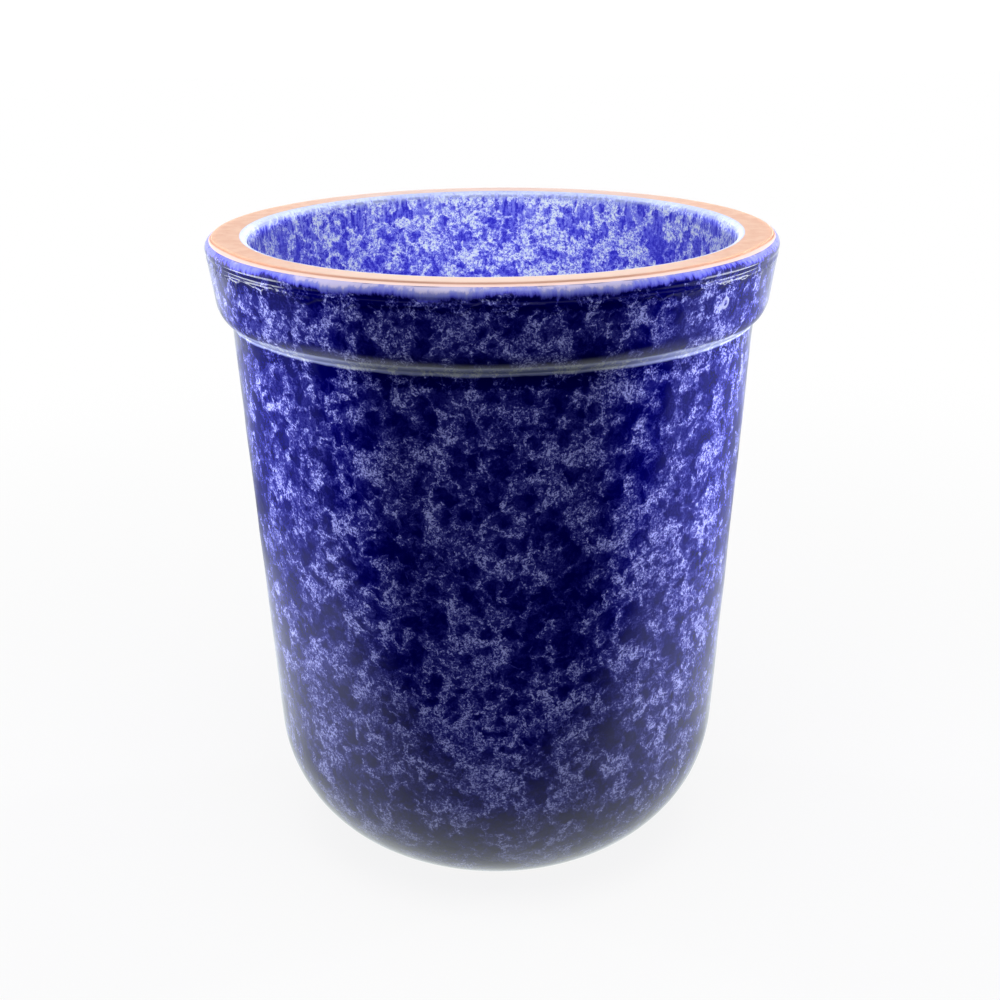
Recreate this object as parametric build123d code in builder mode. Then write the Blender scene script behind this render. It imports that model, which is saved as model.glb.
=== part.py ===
from build123d import *
import os
from math import acos, cos, radians, sin, sqrt, tan

# Utensil crock: a tapered terracotta pot with a collar round its mouth, a rim cut flat and left bare,
# and one coat of glaze outside and another inside.
# The origin is at the centre of the foot, on the surface that it stands on, with +Z up to the mouth.
# Lengths are in millimetres and angles in degrees. Outlines are taken over the glaze.

# Driving sizes of the whole crock
height = 180.5
rim_diameter = 156.0
wall_thickness = 6.6
glaze_thickness = 0.5

# Rim: a flat top, a soft bevel outside it and a rounded lip inside it
bevel_radius = 5.5
bevel_turn = 28.0
shoulder_radius = 2.3
lip_radius = 2.0

# Collar: its face leans in on the way down and curls under to the wall
collar_depth = 16.8
collar_lean = 8.65
collar_overhang = 3.9
curl_radius = 8.0
neck_fillet_radius = 1.2

# Body: a straight tapered wall and a large round corner down to the foot
wall_taper = 3.57
base_corner_radius = 41.7
floor_corner_radius = 32.0
floor_height = 8.5

# Foot: a bare ring with a shallow recess inside it
foot_diameter = 74.0
foot_height = 1.0
foot_width = 7.0
foot_recess = 2.0
foot_edge_radius = 0.4
foot_margin = 0.9

# Directions in the section, where X is the radius and Y is the height
face_direction = Vector(-sin(radians(collar_lean)), -cos(radians(collar_lean)))
face_outward = Vector(cos(radians(collar_lean)), -sin(radians(collar_lean)))
wall_direction = Vector(-sin(radians(wall_taper)), -cos(radians(wall_taper)))
wall_inward = Vector(-cos(radians(wall_taper)), sin(radians(wall_taper)))

# The bevel leaves the flat at its outer edge and hands over to the shoulder, where the glaze begins
rim_radius = rim_diameter / 2
bevel_run = bevel_radius * sin(radians(bevel_turn))
bevel_drop = bevel_radius * (1 - cos(radians(bevel_turn)))
shoulder_run = shoulder_radius * (1 - sin(radians(bevel_turn)))
flat_outer_radius = rim_radius - shoulder_run - bevel_run
bevel_end = Vector(flat_outer_radius + bevel_run, height - bevel_drop)

# The shoulder is round until it points along the collar's face
shoulder_centre_height = bevel_end.Y - shoulder_radius * cos(radians(bevel_turn))
shoulder_centre = Vector(rim_radius - shoulder_radius, shoulder_centre_height)
shoulder_end = shoulder_centre + shoulder_radius * face_outward

# The face runs down to the collar's depth, and the curl turns under it as far as the wall
face_length = (shoulder_end.Y - (height - collar_depth)) / cos(radians(collar_lean))
face_end = shoulder_end + face_length * face_direction
curl_centre = face_end - curl_radius * face_outward
curl_cosine = cos(radians(collar_lean)) - collar_overhang / curl_radius
neck = curl_centre + curl_radius * Vector(curl_cosine, -sin(acos(curl_cosine)))

# The base corner is tangent to the wall and comes down on the foot ring's top edge
foot_radius = foot_diameter / 2
foot_top = Vector(foot_radius, foot_height)
corner_offset = neck + base_corner_radius * wall_inward - foot_top
along_wall = corner_offset.dot(wall_direction)
corner_reach = sqrt(along_wall**2 - corner_offset.dot(corner_offset) + base_corner_radius**2)
wall_end = neck - (along_wall + corner_reach) * wall_direction
corner_centre = wall_end + base_corner_radius * wall_inward

# The outer coat stops a little above the foot ring
glaze_line_height = foot_height + foot_margin
glaze_line_drop = corner_centre.Y - glaze_line_height
glaze_line_run = sqrt(base_corner_radius**2 - glaze_line_drop**2)
glaze_line = Vector(corner_centre.X + glaze_line_run, glaze_line_height)

# The inner wall is parallel to the outer one, from the rounded lip down to the floor
wall_slope = tan(radians(wall_taper))
inner_offset = wall_thickness / cos(radians(wall_taper))
mouth_radius = neck.X + (height - neck.Y) * wall_slope - inner_offset
floor_radius = neck.X + (floor_height - neck.Y) * wall_slope - inner_offset
lip_run = lip_radius * tan(radians(90 - wall_taper) / 2)
lip_start = Vector(mouth_radius, height) + lip_run * wall_direction
flat_inner_radius = mouth_radius + lip_run


def draw_outside(line):
    """The glazed outside in section, from the bevel down over the collar and wall to the glaze line."""
    shoulder = RadiusArc(bevel_end, shoulder_end, shoulder_radius)
    face = Line(shoulder @ 1, face_end)
    curl = RadiusArc(face @ 1, neck, curl_radius)
    wall = Line(curl @ 1, wall_end)
    RadiusArc(wall @ 1, glaze_line, base_corner_radius)
    fillet(line.vertices().sort_by_distance(neck)[0], radius=neck_fillet_radius)


def draw_lining():
    """The glazed inside in section, from the middle of the floor up the wall to the flat rim."""
    floor_points = [(0, floor_height), (floor_radius, floor_height), lip_start]
    wall = FilletPolyline(*floor_points, radius=floor_corner_radius)
    RadiusArc(wall @ 1, (flat_inner_radius, height), lip_radius)


def draw_rim():
    """The bare rim in section, from the lip's edge across the flat and down the bevel."""
    flat = Line((flat_inner_radius, height), (flat_outer_radius, height))
    RadiusArc(flat @ 1, bevel_end, bevel_radius)


def draw_foot():
    """The bare underside in section, from the glaze line over the foot ring to the axis."""
    ring_inner_radius = foot_radius - foot_width
    ring_outside = [foot_top, (foot_radius, 0), (ring_inner_radius, 0)]
    ring_inside = [(ring_inner_radius, foot_recess), (0, foot_recess)]
    RadiusArc(glaze_line, foot_top, base_corner_radius)
    FilletPolyline(*ring_outside, *ring_inside, radius=foot_edge_radius)
    Line((0, foot_recess), (0, floor_height))


os.makedirs("parts", exist_ok=True)

# The outer coat follows the collar and wall at one thickness
with BuildPart() as outer_glaze:
    with BuildSketch(Plane.XZ):
        with BuildLine() as outside_line:
            draw_outside(outside_line)
            offset(amount=glaze_thickness, side=Side.RIGHT)
        make_face()
    revolve(axis=Axis.Z)

# The inner coat lines the floor and wall and ends at the flat rim
with BuildPart() as inner_glaze:
    with BuildSketch(Plane.XZ):
        with BuildLine():
            draw_lining()
            offset(amount=glaze_thickness, side=Side.RIGHT)
        make_face()
    revolve(axis=Axis.Z)

# The clay fills the outline between the coats, so each coat seats in a step as deep as itself
with BuildPart() as clay_body:
    with BuildSketch(Plane.XZ):
        with BuildLine() as clay_line:
            draw_outside(clay_line)
            draw_foot()
            draw_lining()
            draw_rim()
        make_face()
    revolve(axis=Axis.Z)
    add(outer_glaze.part, mode=Mode.SUBTRACT)
    add(inner_glaze.part, mode=Mode.SUBTRACT)

clay_body.part.label = "clay_body"
outer_glaze.part.label = "outer_glaze"
inner_glaze.part.label = "inner_glaze"
export_step(clay_body.part, "parts/clay_body.step")
export_step(outer_glaze.part, "parts/outer_glaze.step")
export_step(inner_glaze.part, "parts/inner_glaze.step")
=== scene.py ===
from math import atan2, cos, hypot, pi, radians, sin

import bpy
from mathutils import Euler, Matrix, Vector


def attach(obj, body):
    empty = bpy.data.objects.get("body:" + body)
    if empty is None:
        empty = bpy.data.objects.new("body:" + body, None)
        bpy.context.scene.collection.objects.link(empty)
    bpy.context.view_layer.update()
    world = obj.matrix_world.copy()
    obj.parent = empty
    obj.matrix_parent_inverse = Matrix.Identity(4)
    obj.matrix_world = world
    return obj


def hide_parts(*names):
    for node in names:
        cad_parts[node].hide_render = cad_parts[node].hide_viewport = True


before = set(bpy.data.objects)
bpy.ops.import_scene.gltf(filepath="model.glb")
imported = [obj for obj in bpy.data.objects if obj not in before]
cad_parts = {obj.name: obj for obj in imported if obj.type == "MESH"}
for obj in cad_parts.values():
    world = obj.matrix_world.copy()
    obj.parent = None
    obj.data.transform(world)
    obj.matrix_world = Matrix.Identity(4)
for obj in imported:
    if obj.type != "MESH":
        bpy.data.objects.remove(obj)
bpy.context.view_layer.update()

# Clay body: the fired terracotta pot, thrown in one piece with its collar, base and foot ring.
# Both glazes cover it except on the rim, which was cut flat and wiped clean, and under the base.
# Its section is drawn from the middle of the floor up to the rim, over it and down to the foot.
slices = 20
slice_steps = 20
weld_distance = 0.000002
sharp_edge = radians(40)

glaze_thickness = 0.0005
wall_taper = 3.57
face_lean = 8.65

floor_height = 0.0085
floor_corner_centre = (0.025973, 0.0405)
floor_corner_turn = 86.43
lip_centre = (0.068649, 0.1785)
lip_radius = 0.002

flat_inner = (0.068649, 0.1805)
step_top = (0.074260, 0.1805)
step_edge = (0.074400, 0.180440)
step_bottom = (0.074600, 0.180110)
ledge = (0.074820, 0.180050)
bevel_end = (0.076780, 0.179856)

shoulder_centre = (0.075700, 0.177825)
shoulder_radius = 0.0023
shoulder_start = radians(62)
shoulder_turn = 70.65
curl_centre = (0.067969, 0.164903)
curl_radius = 0.008
curl_turn = 47.171
neck_centre = (0.073137, 0.157292)
neck_turn = 52.251

corner_centre = (0.022850, 0.040226)
corner_radius = 0.0417
corner_turn = 63.223
bare_turn = 3.371
foot_outer = 0.0370
foot_inner = 0.0300
foot_recess = 0.0020
foot_edge = 0.0004

clay_floor = floor_height - glaze_thickness
clay_lip = lip_radius - glaze_thickness
clay_shoulder = shoulder_radius - glaze_thickness
clay_curl = curl_radius - glaze_thickness
clay_corner = corner_radius - glaze_thickness

wall_outwards = radians(-wall_taper)
wall_inwards = radians(180 - wall_taper)
face_outwards = radians(-face_lean)
to_glaze_line = radians(-wall_taper - corner_turn)


def start_section(name, place):
    """Put down the first point of a section through the crock's axis."""
    bpy.ops.object.select_all(action="DESELECT")
    bpy.ops.mesh.primitive_plane_add(size=0.01)
    piece = bpy.context.object
    piece.name = name
    bpy.ops.object.mode_set(mode="EDIT")
    bpy.ops.mesh.select_all(action="SELECT")
    bpy.ops.mesh.merge(type="CENTER")
    bpy.ops.transform.translate(value=(place[0], 0, place[1]))
    return piece, place


def beside(centre, angle, distance):
    """The place at a distance from a centre, with the angle taken from outwards towards up."""
    return (centre[0] + distance * cos(angle), centre[1] + distance * sin(angle))


def draw_line(pen, end, parts=1):
    """Draw the section on in a straight line."""
    run = (end[0] - pen[0]) / parts
    rise = (end[1] - pen[1]) / parts
    for _ in range(parts):
        bpy.ops.mesh.extrude_region_move(TRANSFORM_OT_translate={"value": (run, 0, rise)})
    return end


def draw_arc(pen, centre, degrees, parts):
    """Draw the section on round a centre, anticlockwise where the angle is positive."""
    turn = radians(degrees)
    middle = (centre[0], 0, centre[1])
    bpy.ops.mesh.spin(steps=parts, angle=turn, center=middle, axis=(0, 1, 0))
    away = hypot(pen[0] - centre[0], pen[1] - centre[1])
    angle = atan2(pen[1] - centre[1], pen[0] - centre[0]) + turn
    return beside(centre, angle, away)


def throw():
    """Turn the section through one slice, copy the slice on round and close the skin."""
    slice_angle = 2 * pi / slices
    copies = slices - 1
    middle = (0, 0, 0)
    upwards = (0, 0, 1)
    bpy.ops.mesh.select_all(action="SELECT")
    bpy.ops.mesh.spin(steps=slice_steps, angle=slice_angle, center=middle, axis=upwards)
    bpy.ops.mesh.select_all(action="SELECT")
    bpy.ops.mesh.spin(
        steps=copies, angle=slice_angle * copies, dupli=True, center=middle, axis=upwards
    )
    bpy.ops.mesh.select_all(action="SELECT")
    bpy.ops.mesh.remove_doubles(threshold=weld_distance)
    bpy.ops.mesh.normals_make_consistent(inside=False)
    bpy.ops.object.mode_set(mode="OBJECT")
    bpy.ops.object.shade_smooth_by_angle(angle=sharp_edge)


clay, pen = start_section("clay_pot", (0, clay_floor))
pen = draw_line(pen, (floor_corner_centre[0], clay_floor), parts=4)
pen = draw_arc(pen, floor_corner_centre, floor_corner_turn, parts=12)
pen = draw_line(pen, beside(lip_centre, wall_inwards, clay_lip), parts=6)
pen = draw_arc(pen, lip_centre, -floor_corner_turn, parts=6)
pen = draw_line(pen, flat_inner)
pen = draw_line(pen, step_top, parts=6)
pen = draw_line(pen, step_edge)
pen = draw_line(pen, step_bottom, parts=2)
pen = draw_line(pen, ledge)
pen = draw_line(pen, bevel_end, parts=6)
pen = draw_line(pen, beside(shoulder_centre, shoulder_start, clay_shoulder))
pen = draw_arc(pen, shoulder_centre, -shoulder_turn, parts=6)
pen = draw_line(pen, beside(curl_centre, face_outwards, clay_curl), parts=2)
pen = draw_arc(pen, curl_centre, -curl_turn, parts=6)
pen = draw_arc(pen, neck_centre, neck_turn, parts=4)
pen = draw_line(pen, beside(corner_centre, wall_outwards, clay_corner), parts=6)
pen = draw_arc(pen, corner_centre, -corner_turn, parts=12)
pen = draw_line(pen, beside(corner_centre, to_glaze_line, corner_radius))
pen = draw_arc(pen, corner_centre, -bare_turn, parts=3)
pen = draw_line(pen, (foot_outer, foot_edge))
pen = draw_arc(pen, (foot_outer - foot_edge, foot_edge), -90, parts=4)
pen = draw_line(pen, (foot_inner + foot_edge, 0), parts=4)
pen = draw_arc(pen, (foot_inner + foot_edge, foot_edge), -90, parts=4)
pen = draw_line(pen, (foot_inner, foot_recess - foot_edge))
pen = draw_arc(pen, (foot_inner - foot_edge, foot_recess - foot_edge), 90, parts=4)
pen = draw_line(pen, (0, foot_recess), parts=12)
throw()

# The step down from the flat lies further out at the sides and the back than it does in front.
step_shift = 0.0017
shift_begins = -0.47
shift_ends = -0.14
rim_bottom = 0.1798
shifted_from = 0.0720
shifted_to = 0.0767
grows_over = 0.0024
fades_over = 0.0019
cast_radius = 0.0790
rim_edges = clay.vertex_groups.new(name="rim_edges")
for point in clay.data.vertices:
    away = hypot(point.co.x, point.co.y)
    if point.co.z > rim_bottom and shifted_from < away < shifted_to:
        turned = (point.co.y / away - shift_begins) / (shift_ends - shift_begins)
        turned = min(max(turned, 0), 1)
        kept = min((away - shifted_from) / grows_over, (bevel_end[0] - away) / fades_over, 1)
        moved = step_shift * kept * turned * turned * (3 - 2 * turned)
        rim_edges.add([point.index], moved / (cast_radius - away), "REPLACE")
widen = clay.modifiers.new("widen", "CAST")
widen.cast_type = "CYLINDER"
widen.use_z = False
widen.factor = 1.0
widen.size = cast_radius
widen.use_radius_as_size = False
widen.vertex_group = rim_edges.name
bpy.ops.object.modifier_apply(modifier=widen.name)


def colour(red, green, blue):
    """A colour as it looks on a screen, from 0 to 255, in the light's own values."""
    levels = []
    for value in (red, green, blue):
        level = value / 255
        levels.append(level / 12.92 if level <= 0.04045 else ((level + 0.055) / 1.055) ** 2.4)
    return (*levels, 1)


def new_finish(piece, name):
    """A material on the piece, with its nodes, its shader and the piece's own coordinates."""
    finish = bpy.data.materials.new(name)
    finish.use_nodes = True
    piece.data.materials.clear()
    piece.data.materials.append(finish)
    tree = finish.node_tree
    shader = tree.nodes["Principled BSDF"]
    where = tree.nodes.new("ShaderNodeTexCoord").outputs["Object"]
    return tree, shader, where


def feed(tree, socket, value):
    """Join a node's output to a socket, or set the socket to a plain value."""
    if isinstance(value, bpy.types.NodeSocket):
        tree.links.new(value, socket)
    else:
        socket.default_value = value


def sums(tree, operation, first, second=0.0, third=0.0):
    """One step of arithmetic."""
    node = tree.nodes.new("ShaderNodeMath")
    node.operation = operation
    for socket, value in zip(node.inputs, (first, second, third)):
        feed(tree, socket, value)
    return node.outputs[0]


def fade(tree, value, start, end, first=0.0, last=1.0):
    """A share that goes softly from first to last as a value goes from start to end."""
    node = tree.nodes.new("ShaderNodeMapRange")
    node.interpolation_type = "SMOOTHSTEP"
    for socket, setting in zip(node.inputs, (value, start, end, first, last)):
        feed(tree, socket, setting)
    return node.outputs[0]


def band(tree, value, middle, whole, gone, share=1.0):
    """A share that is whole while a value is near its middle and gone further from it."""
    away = sums(tree, "ABSOLUTE", sums(tree, "SUBTRACT", value, middle))
    return fade(tree, away, whole, gone, share, 0.0)


def grain(tree, where, size, detail=2.0, rough=0.5, give="Fac"):
    """Soft random spots of about a size in metres, as a value near a half or as a colour."""
    node = tree.nodes.new("ShaderNodeTexNoise")
    feed(tree, node.inputs["Vector"], where)
    node.inputs["Scale"].default_value = 1 / size
    node.inputs["Detail"].default_value = detail
    node.inputs["Roughness"].default_value = rough
    return node.outputs[give]


def blend(tree, share, first, second):
    """Two colours mixed by a share of the second."""
    node = tree.nodes.new("ShaderNodeMix")
    node.data_type = "RGBA"
    feed(tree, node.inputs[0], share)
    feed(tree, node.inputs[6], first)
    feed(tree, node.inputs[7], second)
    return node.outputs[2]


def axes_of(tree, where):
    """A point's place to the right, its place to the back and its height."""
    node = tree.nodes.new("ShaderNodeSeparateXYZ")
    feed(tree, node.inputs[0], where)
    return node.outputs[0], node.outputs[1], node.outputs[2]


def distance_of(tree, right, back):
    """A point's distance from the crock's axis."""
    squares = sums(tree, "MULTIPLY", right, right)
    squares = sums(tree, "MULTIPLY_ADD", back, back, squares)
    return sums(tree, "SQRT", squares)


def roughen(tree, shader, height, depth):
    """Raise the surface's finest relief by a height map."""
    node = tree.nodes.new("ShaderNodeBump")
    feed(tree, node.inputs["Height"], height)
    node.inputs["Distance"].default_value = depth
    tree.links.new(node.outputs[0], shader.inputs["Normal"])


terracotta = colour(226, 168, 136)
terracotta_pale = colour(234, 186, 158)
terracotta_dark = colour(160, 98, 76)
terracotta_washed = colour(250, 216, 209)
terracotta_front_highlight = colour(226, 194, 176)
terracotta_back_shade_and_sheen = colour(206, 170, 160)
clay_relief = 0.00006

tree, shader, where = new_finish(clay, "terracotta")
right, back, _ = axes_of(tree, where)
radius = distance_of(tree, right, back)
mottle = grain(tree, where, size=0.004, detail=4.0, rough=0.6)
grog = grain(tree, where, size=0.0006, rough=0.6)
skin = blend(tree, fade(tree, mottle, 0.35, 0.65), terracotta, terracotta_pale)
skin = blend(tree, fade(tree, grog, 0.62, 0.72, last=0.25), skin, terracotta_dark)

around = sums(tree, "DIVIDE", back, radius)
# Painted highlight: the rim is painted paler and creamier towards the front, for the sheen it
# shows there.
front_highlight = fade(tree, around, -0.95, -0.50, first=0.9, last=0.0)
# Painted shade and sheen: the rim is painted darker and greyer towards the back.
back_shade_and_sheen = fade(tree, around, 0.55, 0.95, last=0.9)
skin = blend(tree, front_highlight, skin, terracotta_front_highlight)
skin = blend(tree, back_shade_and_sheen, skin, terracotta_back_shade_and_sheen)

shifted = fade(tree, around, shift_begins, shift_ends, last=step_shift)
step_place = sums(tree, "ADD", shifted, step_bottom[0])
past_step = sums(tree, "SUBTRACT", radius, step_place)
# The foot of the step is darkened, partly as dirt and partly as painted shade in its crease, more
# at the sides and the back than in front.
step_dirt_and_shade = fade(tree, shifted, 0.0, step_shift, first=0.60, last=0.85)
step_dirt_and_shade = band(tree, radius, step_place, whole=0.0001, gone=0.0003, share=step_dirt_and_shade)
skin = blend(tree, fade(tree, past_step, 0.0002, 0.0008), skin, terracotta_washed)
skin = blend(tree, step_dirt_and_shade, skin, terracotta_dark)

tree.links.new(skin, shader.inputs["Base Color"])
shader.inputs["Roughness"].default_value = 0.38
shader.inputs["Specular IOR Level"].default_value = 0.4
roughen(tree, shader, grain(tree, where, size=0.0005, detail=3.0, rough=0.6), clay_relief)
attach(clay, "root")
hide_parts("clay_body")

# Outer glaze: the fired glass coat over the collar, the wall and the round base.
# Cobalt blue breaks into a lace of white all over, goes pale where the coat thins at the rim, and
# is darker in a band just under the collar. The coat sits in a step as deep as itself, flush with
# the clay.
neck_radius = 0.0012
face_foot = (0.075878, 0.163700)
shoulder_bead = [
    (0.077700, 0.176750),
    (0.077690, 0.176350),
    (0.077760, 0.175900),
    (0.077740, 0.175500),
    (0.077610, 0.175000),
    (0.077493, 0.174315),
]
wave_size = 0.016
wave_height = 0.0003

coat, pen = start_section("outer_coat", bevel_end)
pen = draw_arc(pen, shoulder_centre, -shoulder_turn, parts=12)
for place in shoulder_bead:
    pen = draw_line(pen, place, parts=2)
pen = draw_line(pen, face_foot, parts=12)
pen = draw_arc(pen, curl_centre, -curl_turn, parts=12)
pen = draw_arc(pen, neck_centre, neck_turn, parts=6)
pen = draw_line(pen, beside(corner_centre, wall_outwards, corner_radius), parts=80)
pen = draw_arc(pen, corner_centre, -corner_turn, parts=34)
pen = draw_line(pen, beside(corner_centre, to_glaze_line, clay_corner))
pen = draw_arc(pen, corner_centre, corner_turn, parts=12)
pen = draw_line(pen, beside(neck_centre, wall_inwards, neck_radius + glaze_thickness), parts=6)
pen = draw_arc(pen, neck_centre, -neck_turn, parts=4)
pen = draw_arc(pen, curl_centre, curl_turn, parts=6)
pen = draw_line(pen, beside(shoulder_centre, face_outwards, clay_shoulder), parts=2)
pen = draw_arc(pen, shoulder_centre, shoulder_turn, parts=6)
pen = draw_line(pen, bevel_end)
throw()


def ripple(piece, low, high, facing):
    """Let the side of a coat that shows run in slow waves, and keep its edges where they are."""
    group = piece.vertex_groups.new(name="waves")
    for point in piece.data.vertices:
        outwards = point.normal.x * point.co.x + point.normal.y * point.co.y
        if outwards * facing > 0:
            from_below = (point.co.z - low[0]) / (low[1] - low[0])
            from_above = (high[1] - point.co.z) / (high[1] - high[0])
            weight = min(from_below, from_above, 1.0)
            if weight > 0:
                group.add([point.index], weight, "REPLACE")
    cloud = bpy.data.textures.new(piece.name + "_waves", "CLOUDS")
    cloud.noise_scale = wave_size
    cloud.noise_depth = 2
    waves = piece.modifiers.new("waves", "DISPLACE")
    waves.texture = cloud
    waves.texture_coords = "LOCAL"
    waves.direction = "NORMAL"
    waves.mid_level = 0.5
    waves.strength = wave_height
    waves.vertex_group = group.name
    bpy.ops.object.select_all(action="DESELECT")
    bpy.context.view_layer.objects.active = piece
    piece.select_set(True)
    bpy.ops.object.modifier_apply(modifier=waves.name)


ripple(coat, low=(0.003, 0.012), high=(0.1750, 0.1780), facing=1)

# The lace is threads, each with its size, share and bend, clouds, each with its size, share and
# detail, and dark cells, each with its size, soft edge and the share of white left inside.
thread_kinds = [(0.0031, 0.30, 0.0015), (0.0013, 0.50, 0.0012), (0.0006, 0.65, 0.0012)]
cloud_kinds = [(0.0130, 1.8, 2.0), (0.0050, 3.2, 8.0), (0.0004, 1.3, 2.0)]
cell_kinds = [(0.0055, 0.32, 0.12), (0.0028, 0.32, 0.25), (0.0014, 0.36, 0.40)]
cell_radius = 0.26
cell_spread = 0.8
thread_sharpness = 4.0
thread_share = 1.5
dark_share = -2.80
lace_contrast = 0.3
lace_darkest = 0.05


def stretch(tree, where, across, up):
    """Coordinates that make a pattern finer across or longer up the wall."""
    node = tree.nodes.new("ShaderNodeVectorMath")
    node.operation = "MULTIPLY"
    feed(tree, node.inputs[0], where)
    node.inputs[1].default_value = (across, across, up)
    return node.outputs[0]


def wander(tree, where, size, reach):
    """Bend the coordinates a little, so that nothing runs straight."""
    away = tree.nodes.new("ShaderNodeVectorMath")
    away.operation = "SUBTRACT"
    tree.links.new(grain(tree, where, size, detail=3.0, give="Color"), away.inputs[0])
    away.inputs[1].default_value = (0.5, 0.5, 0.5)
    bent = tree.nodes.new("ShaderNodeVectorMath")
    bent.operation = "MULTIPLY_ADD"
    tree.links.new(away.outputs[0], bent.inputs[0])
    bent.inputs[1].default_value = (reach, reach, reach)
    feed(tree, bent.inputs[2], where)
    return bent.outputs[0]


def cells(tree, where, size, edge, left):
    """How much white shows round dark cells of a size in metres: little inside, all outside."""
    node = tree.nodes.new("ShaderNodeTexVoronoi")
    node.feature = "F1"
    feed(tree, node.inputs["Vector"], where)
    node.inputs["Scale"].default_value = 1 / size
    uneven = grain(tree, where, size=0.010)
    away = sums(tree, "MULTIPLY_ADD", uneven, cell_spread, node.outputs["Distance"])
    half_spread = cell_spread / 2
    return fade(tree, away, cell_radius + half_spread, cell_radius + edge + half_spread, left, 1.0)


def threads(tree, where):
    """A web of white threads in three sizes, bright along each thread."""
    total = 0.0
    for size, share, bend in thread_kinds:
        value = grain(tree, wander(tree, where, size=0.003, reach=bend), size, detail=0.0)
        away = sums(tree, "ABSOLUTE", sums(tree, "MULTIPLY_ADD", value, 2.0, -1.0))
        line = sums(tree, "POWER", sums(tree, "SUBTRACT", 1.0, away), thread_sharpness)
        total = sums(tree, "MULTIPLY_ADD", line, share, total)
    return total


def lace(tree, where):
    """How white the glaze is, from 0.05 in the dark cells to about 0.65 in the milky patches."""
    total = sums(tree, "MULTIPLY_ADD", threads(tree, where), thread_share, dark_share)
    for size, share, detail in cloud_kinds:
        cloud = grain(tree, where, size, detail, rough=0.6)
        total = sums(tree, "MULTIPLY_ADD", cloud, share, total)
    total = sums(tree, "MAXIMUM", total, 0.0)
    bent = wander(tree, where, size=0.0050, reach=0.0070)
    bent = wander(tree, bent, size=0.0012, reach=0.0032)
    for size, edge, left in cell_kinds:
        total = sums(tree, "MULTIPLY", total, cells(tree, bent, size, edge, left))
    specks = grain(tree, where, size=0.0006, rough=0.7)
    total = sums(tree, "MULTIPLY", total, fade(tree, specks, 0.36, 0.62, first=0.55, last=1.3))
    return sums(tree, "MULTIPLY_ADD", total, lace_contrast, lace_darkest)


def tone(tree, value, stops):
    """A colour from a value, through a list of places and colours."""
    node = tree.nodes.new("ShaderNodeValToRGB")
    feed(tree, node.inputs[0], value)
    ramp = node.color_ramp
    ramp.interpolation = "LINEAR"
    while len(ramp.elements) < len(stops):
        ramp.elements.new(0.5)
    for element, (place, shade) in zip(ramp.elements, stops):
        element.position = place
        element.color = shade
    return node.outputs[0]


lace_stops = [
    (0.057, (0.000, 0.000, 0.098, 1)),
    (0.071, (0.001, 0.001, 0.122, 1)),
    (0.106, (0.006, 0.006, 0.168, 1)),
    (0.208, (0.021, 0.022, 0.235, 1)),
    (0.342, (0.055, 0.059, 0.350, 1)),
    (0.485, (0.150, 0.160, 0.545, 1)),
    (0.566, (0.255, 0.272, 0.715, 1)),
    (0.663, (0.410, 0.440, 0.930, 1)),
]
thin_stops = [
    (0.00, (0.022, 0.018, 0.280, 1)),
    (0.10, (0.043, 0.040, 0.460, 1)),
    (0.20, (0.072, 0.072, 0.600, 1)),
    (0.38, (0.112, 0.126, 0.650, 1)),
    (0.62, (0.172, 0.192, 0.690, 1)),
    (0.86, (0.240, 0.252, 0.620, 1)),
    (1.00, (0.500, 0.460, 0.700, 1)),
]
neck_lit_dark = (0.40, 0.46, 0.95, 1)
neck_lit_pale = (0.80, 0.88, 1.00, 1)
bubble_glint_pale = (0.42, 0.45, 0.80, 1)
lip_brown = (0.06, 0.05, 0.13, 1)

calm_height = 0.1760
under_collar_height = 0.1556
neck_line_height = 0.1587
line_sway = 0.0010
thin_starts = 0.1804
thin_ends = 0.1835
streak_reach = 0.0034
patch_reach = 0.0042
side_shade_reach = 0.0014
lip_line_starts = 0.17978
lip_line_ends = 0.17994
lip_line_sway = 0.0003
crease_height = 0.1780
crease_sway = 0.0060
bubble_place = (0.0571, -0.0514, 0.1701)
bubble_radius = 0.00115
bubble_glint_share = 0.7

glass_gloss = 0.06
glass_worn = 0.4
glass_ior = 1.5
glass_relief = 0.00004

tree, shader, where = new_finish(coat, "cobalt_glaze")
right, _, height = axes_of(tree, where)
wobble = grain(tree, where, size=0.009)
lowered = sums(tree, "SUBTRACT", height, line_sway / 2)
line_height = sums(tree, "MULTIPLY_ADD", wobble, line_sway, lowered)
calm = band(tree, height, calm_height, whole=0.0012, gone=0.0034, share=0.12)
# A band just under the collar has less white in it, so it is darker there.
pool = band(tree, line_height, under_collar_height, whole=0.0008, gone=0.0022, share=0.12)
white = sums(tree, "SUBTRACT", lace(tree, where), sums(tree, "ADD", calm, pool))
skin = tone(tree, white, lace_stops)

# A pale grey line at the neck: the glaze breaks thin over the edge there, and its colour is also
# raised as painted light from the white sheet, to brighten the shaded crease.
neck_break_and_painted_light = band(tree, line_height, neck_line_height, whole=0.0010, gone=0.0016, share=0.85)
neck_grey_painted_light = blend(tree, fade(tree, white, 0.1, 0.5), neck_lit_dark, neck_lit_pale)
skin = blend(tree, neck_break_and_painted_light, skin, neck_grey_painted_light)

streak = grain(tree, stretch(tree, where, across=1.0, up=0.15), 0.0013, detail=4.0, rough=0.6)
patches = grain(tree, where, size=0.014)
thin = sums(tree, "MULTIPLY_ADD", streak, streak_reach, height)
thin = sums(tree, "MULTIPLY_ADD", patches, patch_reach, thin)
# Painted shade: the pale band is kept narrower at the left and right, darkening the shoulder where
# the side lamps fall on it.
side_shade = fade(tree, sums(tree, "ABSOLUTE", right), 0.030, 0.065, last=side_shade_reach)
thin = fade(tree, sums(tree, "SUBTRACT", thin, side_shade), thin_starts, thin_ends)
skin = blend(tree, fade(tree, thin, 0.02, 0.20), skin, tone(tree, thin, thin_stops))

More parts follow.
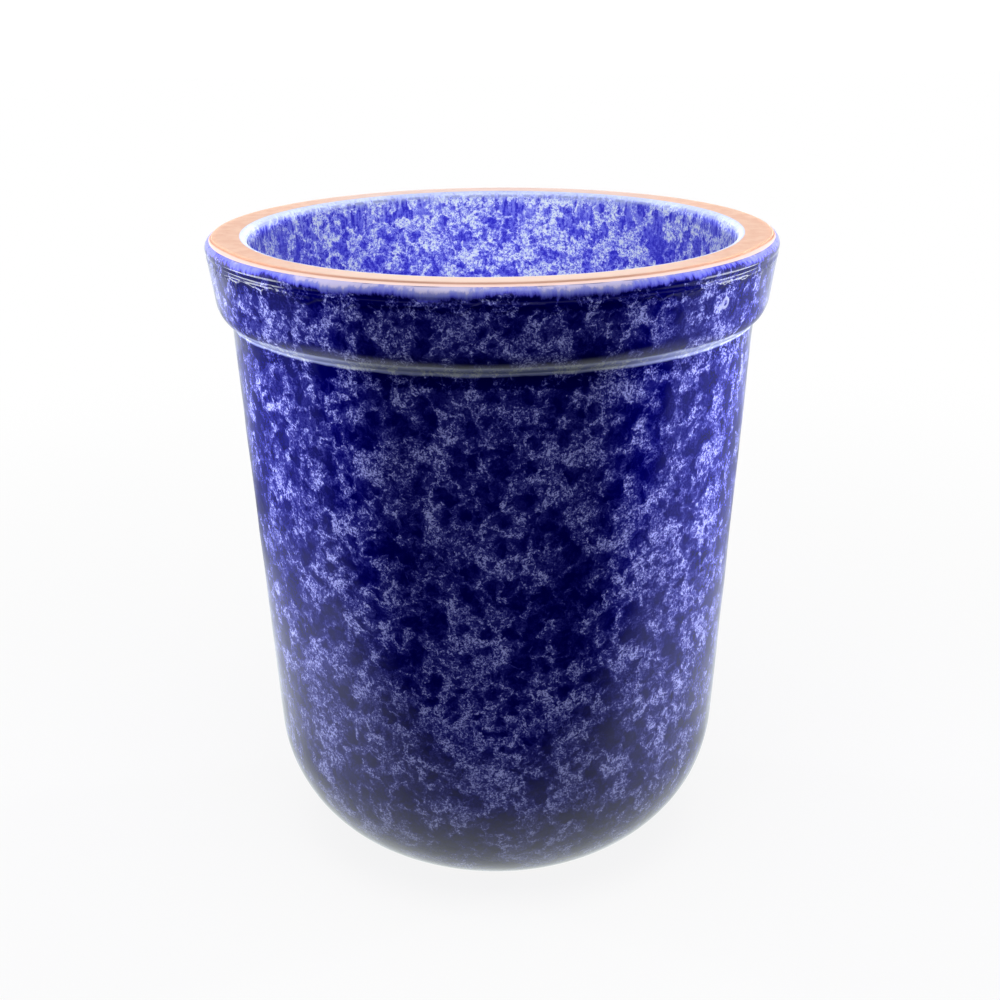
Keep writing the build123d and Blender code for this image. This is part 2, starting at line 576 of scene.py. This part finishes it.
# A burst bubble in the glaze on the collar: its ring is raised as relief, and also painted pale as
# a painted glint.
bubble = tree.nodes.new("ShaderNodeVectorMath")
bubble.operation = "DISTANCE"
tree.links.new(where, bubble.inputs[0])
bubble.inputs[1].default_value = bubble_place
burst = band(tree, bubble.outputs["Value"], bubble_radius, whole=0.0002, gone=0.0006)
skin = blend(tree, sums(tree, "MULTIPLY", burst, bubble_glint_share), skin, bubble_glint_pale)

lip_line = sums(tree, "MULTIPLY_ADD", wobble, lip_line_sway, height)
lip_line = fade(tree, lip_line, lip_line_starts, lip_line_ends, last=0.6)
lip_line = sums(tree, "MULTIPLY", lip_line, fade(tree, wobble, 0.48, 0.60))
skin = blend(tree, lip_line, skin, lip_brown)
tree.links.new(skin, shader.inputs["Base Color"])

on_collar = fade(tree, height, 0.160, 0.166)
ridges = grain(tree, stretch(tree, where, across=1.0, up=0.3), size=0.0035)
ridges = sums(tree, "MULTIPLY", ridges, on_collar)
crease = grain(tree, where, size=0.0060, rough=0.6)
crease = sums(tree, "MULTIPLY_ADD", crease, crease_sway, height)
crease = band(tree, crease, crease_height, whole=0.0001, gone=0.0008)
relief = grain(tree, where, size=0.0022, detail=1.0)
for raised, strength in ((ridges, 2.0), (crease, 1.8), (burst, 2.0)):
    relief = sums(tree, "MULTIPLY_ADD", raised, strength, relief)
roughen(tree, shader, relief, glass_relief)
worn = fade(tree, thin, 0.05, 0.5, first=glass_gloss, last=glass_worn)
tree.links.new(worn, shader.inputs["Roughness"])
shader.inputs["IOR"].default_value = glass_ior
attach(coat, "root")
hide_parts("outer_glaze")

# Inner glaze: the same glass, poured in and out again, which left it whiter than the outside.
# It lines the floor and the wall and turns over the rounded lip to the cut rim.
floor_corner_radius = 0.032
glass_floor_corner = floor_corner_radius + glaze_thickness
lining, pen = start_section("inner_lining", (0, floor_height))
pen = draw_line(pen, (floor_corner_centre[0], floor_height), parts=10)
pen = draw_arc(pen, floor_corner_centre, floor_corner_turn, parts=24)
pen = draw_line(pen, beside(lip_centre, wall_inwards, lip_radius), parts=60)
pen = draw_arc(pen, lip_centre, -floor_corner_turn, parts=10)
pen = draw_line(pen, (flat_inner[0], flat_inner[1] - glaze_thickness))
pen = draw_arc(pen, lip_centre, floor_corner_turn, parts=6)
pen = draw_line(pen, beside(floor_corner_centre, wall_outwards, glass_floor_corner), parts=6)
pen = draw_arc(pen, floor_corner_centre, -floor_corner_turn, parts=12)
pen = draw_line(pen, (0, clay_floor), parts=4)
throw()
ripple(lining, low=(0.016, 0.026), high=(0.168, 0.176), facing=-1)

lining_stops = [
    (0.057, (0.038, 0.035, 0.600, 1)),
    (0.071, (0.066, 0.064, 0.680, 1)),
    (0.106, (0.122, 0.128, 0.770, 1)),
    (0.208, (0.250, 0.275, 0.870, 1)),
    (0.342, (0.490, 0.555, 0.950, 1)),
    (0.485, (0.730, 0.820, 1.000, 1)),
    (0.566, (0.840, 0.930, 1.000, 1)),
    (0.663, (0.920, 0.990, 1.000, 1)),
]
lip_pale = (0.52, 0.60, 0.88, 1)
dash_blue = (0.25, 0.29, 0.55, 1)

lining_scale = 1.3
runs_start = 0.166
runs_end = 0.177
mean_streak = 0.45
lip_starts = 0.1798
lip_ends = 0.1830
lip_reach = 0.0050
dash_height = 0.1793
lip_worn = 0.35

tree, shader, where = new_finish(lining, "pale_cobalt_glaze")
_, _, height = axes_of(tree, where)
streak = grain(tree, stretch(tree, where, across=1.0, up=0.15), 0.0009, detail=3.0, rough=0.6)
runs = fade(tree, height, runs_start, runs_end, last=0.6)
white = lace(tree, stretch(tree, where, lining_scale, lining_scale))
specks = grain(tree, where, size=0.0009, rough=0.7)
white = sums(tree, "MULTIPLY", white, fade(tree, specks, 0.36, 0.60, first=0.5, last=1.35))
white = sums(tree, "MULTIPLY_ADD", sums(tree, "SUBTRACT", streak, mean_streak), runs, white)
skin = tone(tree, white, lining_stops)

lip = sums(tree, "MULTIPLY_ADD", streak, lip_reach, height)
skin = blend(tree, fade(tree, lip, lip_starts, lip_ends, last=0.9), skin, lip_pale)
dashes = grain(tree, stretch(tree, where, across=1.0, up=0.1), size=0.0020)
dash_line = band(tree, height, dash_height, whole=0.0002, gone=0.0005, share=0.8)
dashes = sums(tree, "MULTIPLY", fade(tree, dashes, 0.42, 0.55), dash_line)
skin = blend(tree, dashes, skin, dash_blue)
tree.links.new(skin, shader.inputs["Base Color"])

roughen(tree, shader, grain(tree, where, size=0.0022, detail=1.0), glass_relief)
worn = fade(tree, height, 0.1780, 0.1795, first=glass_gloss, last=lip_worn)
tree.links.new(worn, shader.inputs["Roughness"])
shader.inputs["IOR"].default_value = glass_ior
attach(lining, "root")
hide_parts("inner_glaze")

# Stage: a white sheet that the crock stands on, in a white room that is dark on the camera's side.
# Seen straight, the sheet and the room are white, and the sheet keeps the crock's soft shadow.
# The bright zones beside the crock and the window behind it are there for reflections alone.
sheet_white = colour(236, 236, 238)
sheet_bounce = (0.94, 1.0, 0.98, 1)
plain_white = (1, 1, 1, 1)
side_light = 7.0
window_light = 0.9
bounce_share = 0.3
bpy.ops.object.select_all(action="DESELECT")
bpy.ops.mesh.primitive_plane_add(size=6)
sheet = bpy.context.object
sheet.name = "white_sheet"


def glow(tree, shade, strength):
    """Light that a surface gives off itself."""
    node = tree.nodes.new("ShaderNodeEmission")
    node.inputs["Color"].default_value = shade
    feed(tree, node.inputs["Strength"], strength)
    return node.outputs[0]


def either(tree, share, first, second):
    """Two finishes mixed by a share of the second."""
    node = tree.nodes.new("ShaderNodeMixShader")
    for socket, value in zip(node.inputs, (share, first, second)):
        feed(tree, socket, value)
    return node.outputs[0]


def product(tree, *shares):
    """Shares multiplied by each other."""
    total = shares[0]
    for share in shares[1:]:
        total = sums(tree, "MULTIPLY", total, share)
    return total


tree, shader, where = new_finish(sheet, "paper")
shader.inputs["Base Color"].default_value = sheet_white
shader.inputs["Roughness"].default_value = 0.8
shader.inputs["Specular IOR Level"].default_value = 0.2
ray = tree.nodes.new("ShaderNodeLightPath").outputs
right, back, _ = axes_of(tree, where)
away = distance_of(tree, right, back)
beyond_shadow = fade(tree, away, 0.12, 0.6, first=0.88, last=1.0)
seen = either(tree, beyond_shadow, shader.outputs[0], glow(tree, plain_white, 1.0))

# Round the crock the sheet is bright except in front, and it brightens again far behind it.
near_light = fade(tree, right, 0.0, 0.2, first=1.05, last=0.82)
rest_light = fade(tree, right, 0.0, 0.2, first=0.2, last=0.42)
pool = fade(tree, away, 0.12, 0.34, near_light, rest_light)
pool = product(tree, pool, fade(tree, back, -0.15, -0.06))
far = fade(tree, back, 0.1, 0.45, last=0.6)
edge = product(tree, fade(tree, away, 0.52, 0.62, last=0.9), fade(tree, back, 0.1, 0.3))
sides = product(
    tree,
    fade(tree, sums(tree, "ABSOLUTE", right), 0.56, 0.66, last=side_light),
    fade(tree, back, -0.15, 0.0),
    fade(tree, back, 0.35, 0.55, first=1.0, last=0.0),
    ray["Is Glossy Ray"],
)
level = sums(tree, "MAXIMUM", sums(tree, "MAXIMUM", far, edge), sides)
level = sums(tree, "MAXIMUM", pool, level)
bounce = fade(tree, ray["Is Glossy Ray"], 0.0, 1.0, first=bounce_share, last=1.0)
mirrored = glow(tree, sheet_bounce, product(tree, level, bounce))
finish = either(tree, ray["Is Camera Ray"], mirrored, seen)
tree.links.new(finish, tree.nodes["Material Output"].inputs["Surface"])

# The room is dim on the camera's side, bright low down behind the crock, and has a window there.
room = bpy.data.worlds.new("room")
bpy.context.scene.world = room
room.use_nodes = True
tree = room.node_tree
tree.nodes.clear()
ray = tree.nodes.new("ShaderNodeLightPath").outputs
way = tree.nodes.new("ShaderNodeTexCoord").outputs["Generated"]
right, back, height = axes_of(tree, way)
far_wall = fade(tree, height, 0.12, 0.40, first=1.3, last=0.45)
camera_side = fade(tree, height, 0.05, 0.40, first=0.20, last=0.50)
walls = fade(tree, back, -0.2, 0.6, camera_side, far_wall)
window = product(
    tree,
    band(tree, right, 0.0, whole=0.09, gone=0.14, share=window_light),
    fade(tree, height, 0.30, 0.45, first=1.0, last=0.0),
    fade(tree, back, 0.0, 0.5),
)
walls = sums(tree, "MULTIPLY_ADD", window, ray["Is Glossy Ray"], walls)
air = tree.nodes.new("ShaderNodeBackground")
air.inputs["Color"].default_value = plain_white
tree.links.new(sums(tree, "MAXIMUM", walls, ray["Is Camera Ray"]), air.inputs["Strength"])
out = tree.nodes.new("ShaderNodeOutputWorld")
tree.links.new(air.outputs[0], out.inputs[0])


def softbox(name, place, target, width, depth, power, spread, mirrored):
    """A lamp behind a white cloth, turned to face a point, in reflections only if mirrored."""
    bpy.ops.object.light_add(type="AREA", location=place)
    lamp = bpy.context.object
    lamp.name = name
    lamp.data.shape = "RECTANGLE"
    lamp.data.size = width
    lamp.data.size_y = depth
    lamp.data.energy = power
    lamp.data.spread = radians(spread)
    lamp.visible_glossy = mirrored
    aim = Vector(target) - lamp.location
    lamp.rotation_euler = aim.to_track_quat("-Z", "Y").to_euler()


softbox(
    "overhead", place=(0, -0.35, 1.05), target=(0, 0, 0.1),
    width=0.7, depth=0.7, power=5.8, spread=180, mirrored=True,
)
softbox(
    "left_side", place=(-0.86, 0.30, 0.19), target=(-0.02, -0.03, 0.140),
    width=0.3, depth=0.04, power=0.42, spread=18, mirrored=False,
)
softbox(
    "right_side", place=(0.86, 0.30, 0.19), target=(0.02, -0.03, 0.140),
    width=0.3, depth=0.04, power=0.50, spread=18, mirrored=False,
)
softbox(
    "fill", place=(0, -0.75, 0.62), target=(0, 0.06, 0.175),
    width=0.12, depth=0.03, power=0.015, spread=12, mirrored=False,
)

# Camera: at the photograph's height, distance and tilt, with its slight turn and roll.
# The picture is shown as it is rendered, with no film look over it.
camera_place = (0, -0.429, 0.25275)
pitch = 0.3397
yaw = 0.0036
roll = 0.0082
lens = 56.2
bpy.ops.object.camera_add(location=camera_place)
camera = bpy.context.object
camera.name = "camera"
camera.data.lens = lens
camera.data.sensor_width = 36
camera.data.clip_start = 0.01
facing = Euler((pi / 2 - pitch, 0, -yaw)).to_matrix() @ Matrix.Rotation(-roll, 3, "Z")
camera.rotation_euler = facing.to_euler()
bpy.context.scene.camera = camera
bpy.context.scene.view_settings.view_transform = "Standard"
